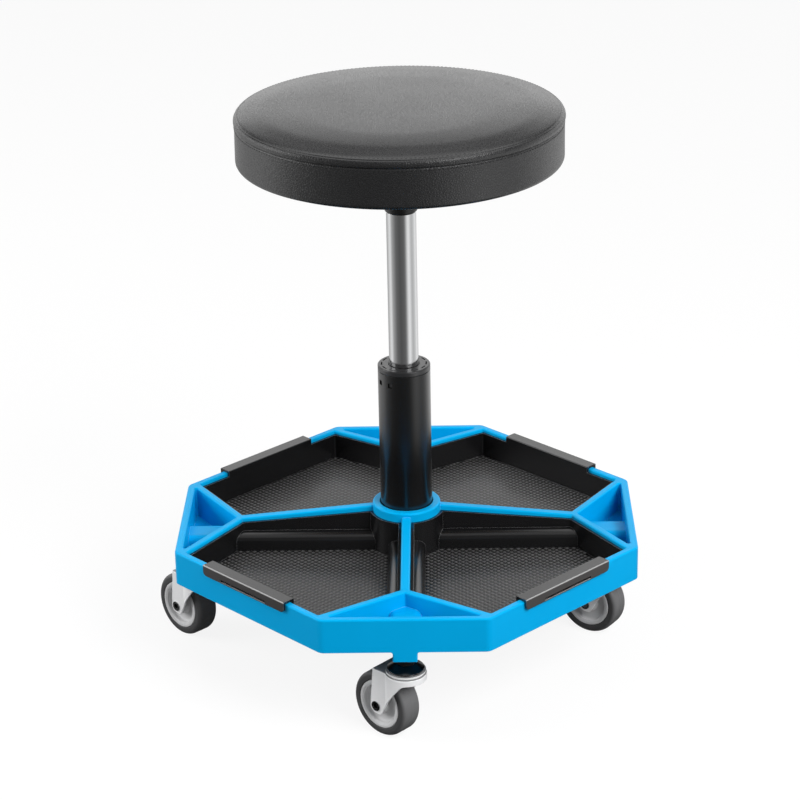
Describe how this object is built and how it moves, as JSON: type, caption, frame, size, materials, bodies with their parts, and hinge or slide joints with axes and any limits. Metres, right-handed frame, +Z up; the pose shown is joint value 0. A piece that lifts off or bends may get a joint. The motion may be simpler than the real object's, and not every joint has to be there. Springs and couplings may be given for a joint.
{
  "type": "rolling workshop stool",
  "caption": "Round padded stool on a gas lift, over an eight-sided rolling base with lift-out tool trays and corner pockets.",
  "frame": {"origin": "on the floor, on the axis of the gas lift", "axes": "+Z up along the gas lift, the pictured front towards -Y, the picture's right towards +X; the release lever points to +Y"},
  "size_m": [0.4692, 0.4663, 0.5448],
  "materials": {
    "base_blue": "satin",
    "tray_black": "matte",
    "column_black": "gloss",
    "guide_black": "satin",
    "lift_chrome": "polished",
    "plate_black": "satin",
    "zinc": "satin",
    "bearing_steel": "polished",
    "race_chrome": "polished",
    "seat_vinyl": "satin",
    "foam": "matte",
    "plywood": "matte",
    "handle_black": "satin",
    "bump_rubber": "matte",
    "tyre_grey": "matte",
    "wheel_grey": "satin",
    "sleeve_nylon": "satin"
  },
  "bodies": {
    "base": {"base_moulding": "base_blue", "caster_inserts": "zinc", "column_tube": "column_black", "column_guide": "guide_black", "thrust_race_lower": "bearing_steel", "stem_front": "plate_black", "stem_right": "plate_black", "stem_back": "plate_black", "stem_left": "plate_black", "race_cup_front": "race_chrome", "race_cup_right": "race_chrome", "race_cup_back": "race_chrome", "race_cup_left": "race_chrome"},
    "rod": {"piston_rod": "bearing_steel", "rod_clip": "bearing_steel", "thrust_balls": "bearing_steel", "thrust_race_upper": "bearing_steel", "bump_stop": "bump_rubber"},
    "seat": {"gas_cylinder": "lift_chrome", "cylinder_gland": "sleeve_nylon", "seat_plate": "plate_black", "seat_bolts": "zinc", "seat_tee_nuts": "zinc", "seat_board": "plywood", "seat_foam": "foam", "seat_cover": "seat_vinyl", "cover_staples": "zinc", "lever_pin": "zinc"},
    "lever": {"release_lever": "plate_black", "lever_grip": "handle_black"},
    "valve": {"valve_button": "bearing_steel"},
    "tray_front_left": {"tray_front_left": "tray_black"},
    "tray_front_right": {"tray_front_right": "tray_black"},
    "tray_back_left": {"tray_back_left": "tray_black"},
    "tray_back_right": {"tray_back_right": "tray_black"},
    "caster_front": {"fork_front": "zinc", "race_balls_front": "bearing_steel", "axle_front": "bearing_steel", "axle_sleeve_front": "sleeve_nylon"},
    "wheel_front": {"wheel_rim_front": "wheel_grey", "tyre_front": "tyre_grey"},
    "caster_right": {"fork_right": "zinc", "race_balls_right": "bearing_steel", "axle_right": "bearing_steel", "axle_sleeve_right": "sleeve_nylon"},
    "wheel_right": {"wheel_rim_right": "wheel_grey", "tyre_right": "tyre_grey"},
    "caster_back": {"fork_back": "zinc", "race_balls_back": "bearing_steel", "axle_back": "bearing_steel", "axle_sleeve_back": "sleeve_nylon"},
    "wheel_back": {"wheel_rim_back": "wheel_grey", "tyre_back": "tyre_grey"},
    "caster_left": {"fork_left": "zinc", "race_balls_left": "bearing_steel", "axle_left": "bearing_steel", "axle_sleeve_left": "sleeve_nylon"},
    "wheel_left": {"wheel_rim_left": "wheel_grey", "tyre_left": "tyre_grey"}
  },
  "joints": [
    {"name": "seat_swivel", "type": "hinge", "parent": "base", "child": "rod", "pos_m": [0, 0, 0.0976], "axis": [0, 0, 1], "continuous": true},
    {"name": "gas_lift", "type": "slide", "parent": "rod", "child": "seat", "axis": [0, 0, 1], "range_m": [-0.12, 0]},
    {"name": "lever_pull", "type": "hinge", "parent": "seat", "child": "lever", "pos_m": [0, 0.03, 0.4873], "axis": [1, 0, 0], "range_deg": [0, 5.4]},
    {"name": "valve_press", "type": "slide", "parent": "seat", "child": "valve", "axis": [0, 0, -1], "range_m": [0, 0.003], "stiffness_N_per_m": 300},
    {"name": "caster_swivel_front", "type": "hinge", "parent": "base", "child": "caster_front", "pos_m": [0, -0.202, 0.07], "axis": [0, 0, 1], "continuous": true},
    {"name": "wheel_spin_front", "type": "hinge", "parent": "caster_front", "child": "wheel_front", "pos_m": [-0.01784, -0.18594, 0.0318], "axis": [-0.6691, -0.7431, 0], "continuous": true},
    {"name": "caster_swivel_right", "type": "hinge", "parent": "base", "child": "caster_right", "pos_m": [0.202, 0, 0.07], "axis": [0, 0, 1], "continuous": true},
    {"name": "wheel_spin_right", "type": "hinge", "parent": "caster_right", "child": "wheel_right", "pos_m": [0.18187, 0.01307, 0.0318], "axis": [-0.5446, -0.8387, 0], "continuous": true},
    {"name": "caster_swivel_back", "type": "hinge", "parent": "base", "child": "caster_back", "pos_m": [0, 0.202, 0.07], "axis": [0, 0, 1], "continuous": true},
    {"name": "wheel_spin_back", "type": "hinge", "parent": "caster_back", "child": "wheel_back", "pos_m": [0.01838, 0.21743, 0.0318], "axis": [-0.6428, 0.766, 0], "continuous": true},
    {"name": "caster_swivel_left", "type": "hinge", "parent": "base", "child": "caster_left", "pos_m": [-0.202, 0, 0.07], "axis": [0, 0, 1], "continuous": true},
    {"name": "wheel_spin_left", "type": "hinge", "parent": "caster_left", "child": "wheel_left", "pos_m": [-0.21897, 0.01697, 0.0318], "axis": [-0.7071, -0.7071, 0], "continuous": true},
    {"name": "tray_lift_front_left", "type": "slide", "parent": "base", "child": "tray_front_left", "axis": [0, 0, 1], "range_m": [0, 0.06]},
    {"name": "tray_lift_front_right", "type": "slide", "parent": "base", "child": "tray_front_right", "axis": [0, 0, 1], "range_m": [0, 0.06]},
    {"name": "tray_lift_back_left", "type": "slide", "parent": "base", "child": "tray_back_left", "axis": [0, 0, 1], "range_m": [0, 0.06]},
    {"name": "tray_lift_back_right", "type": "slide", "parent": "base", "child": "tray_back_right", "axis": [0, 0, 1], "range_m": [0, 0.06]}
  ],
  "couplings": [
    {"joint": "valve_press", "follows": "lever_pull", "m_per_rad": 0.0315}
  ]
}
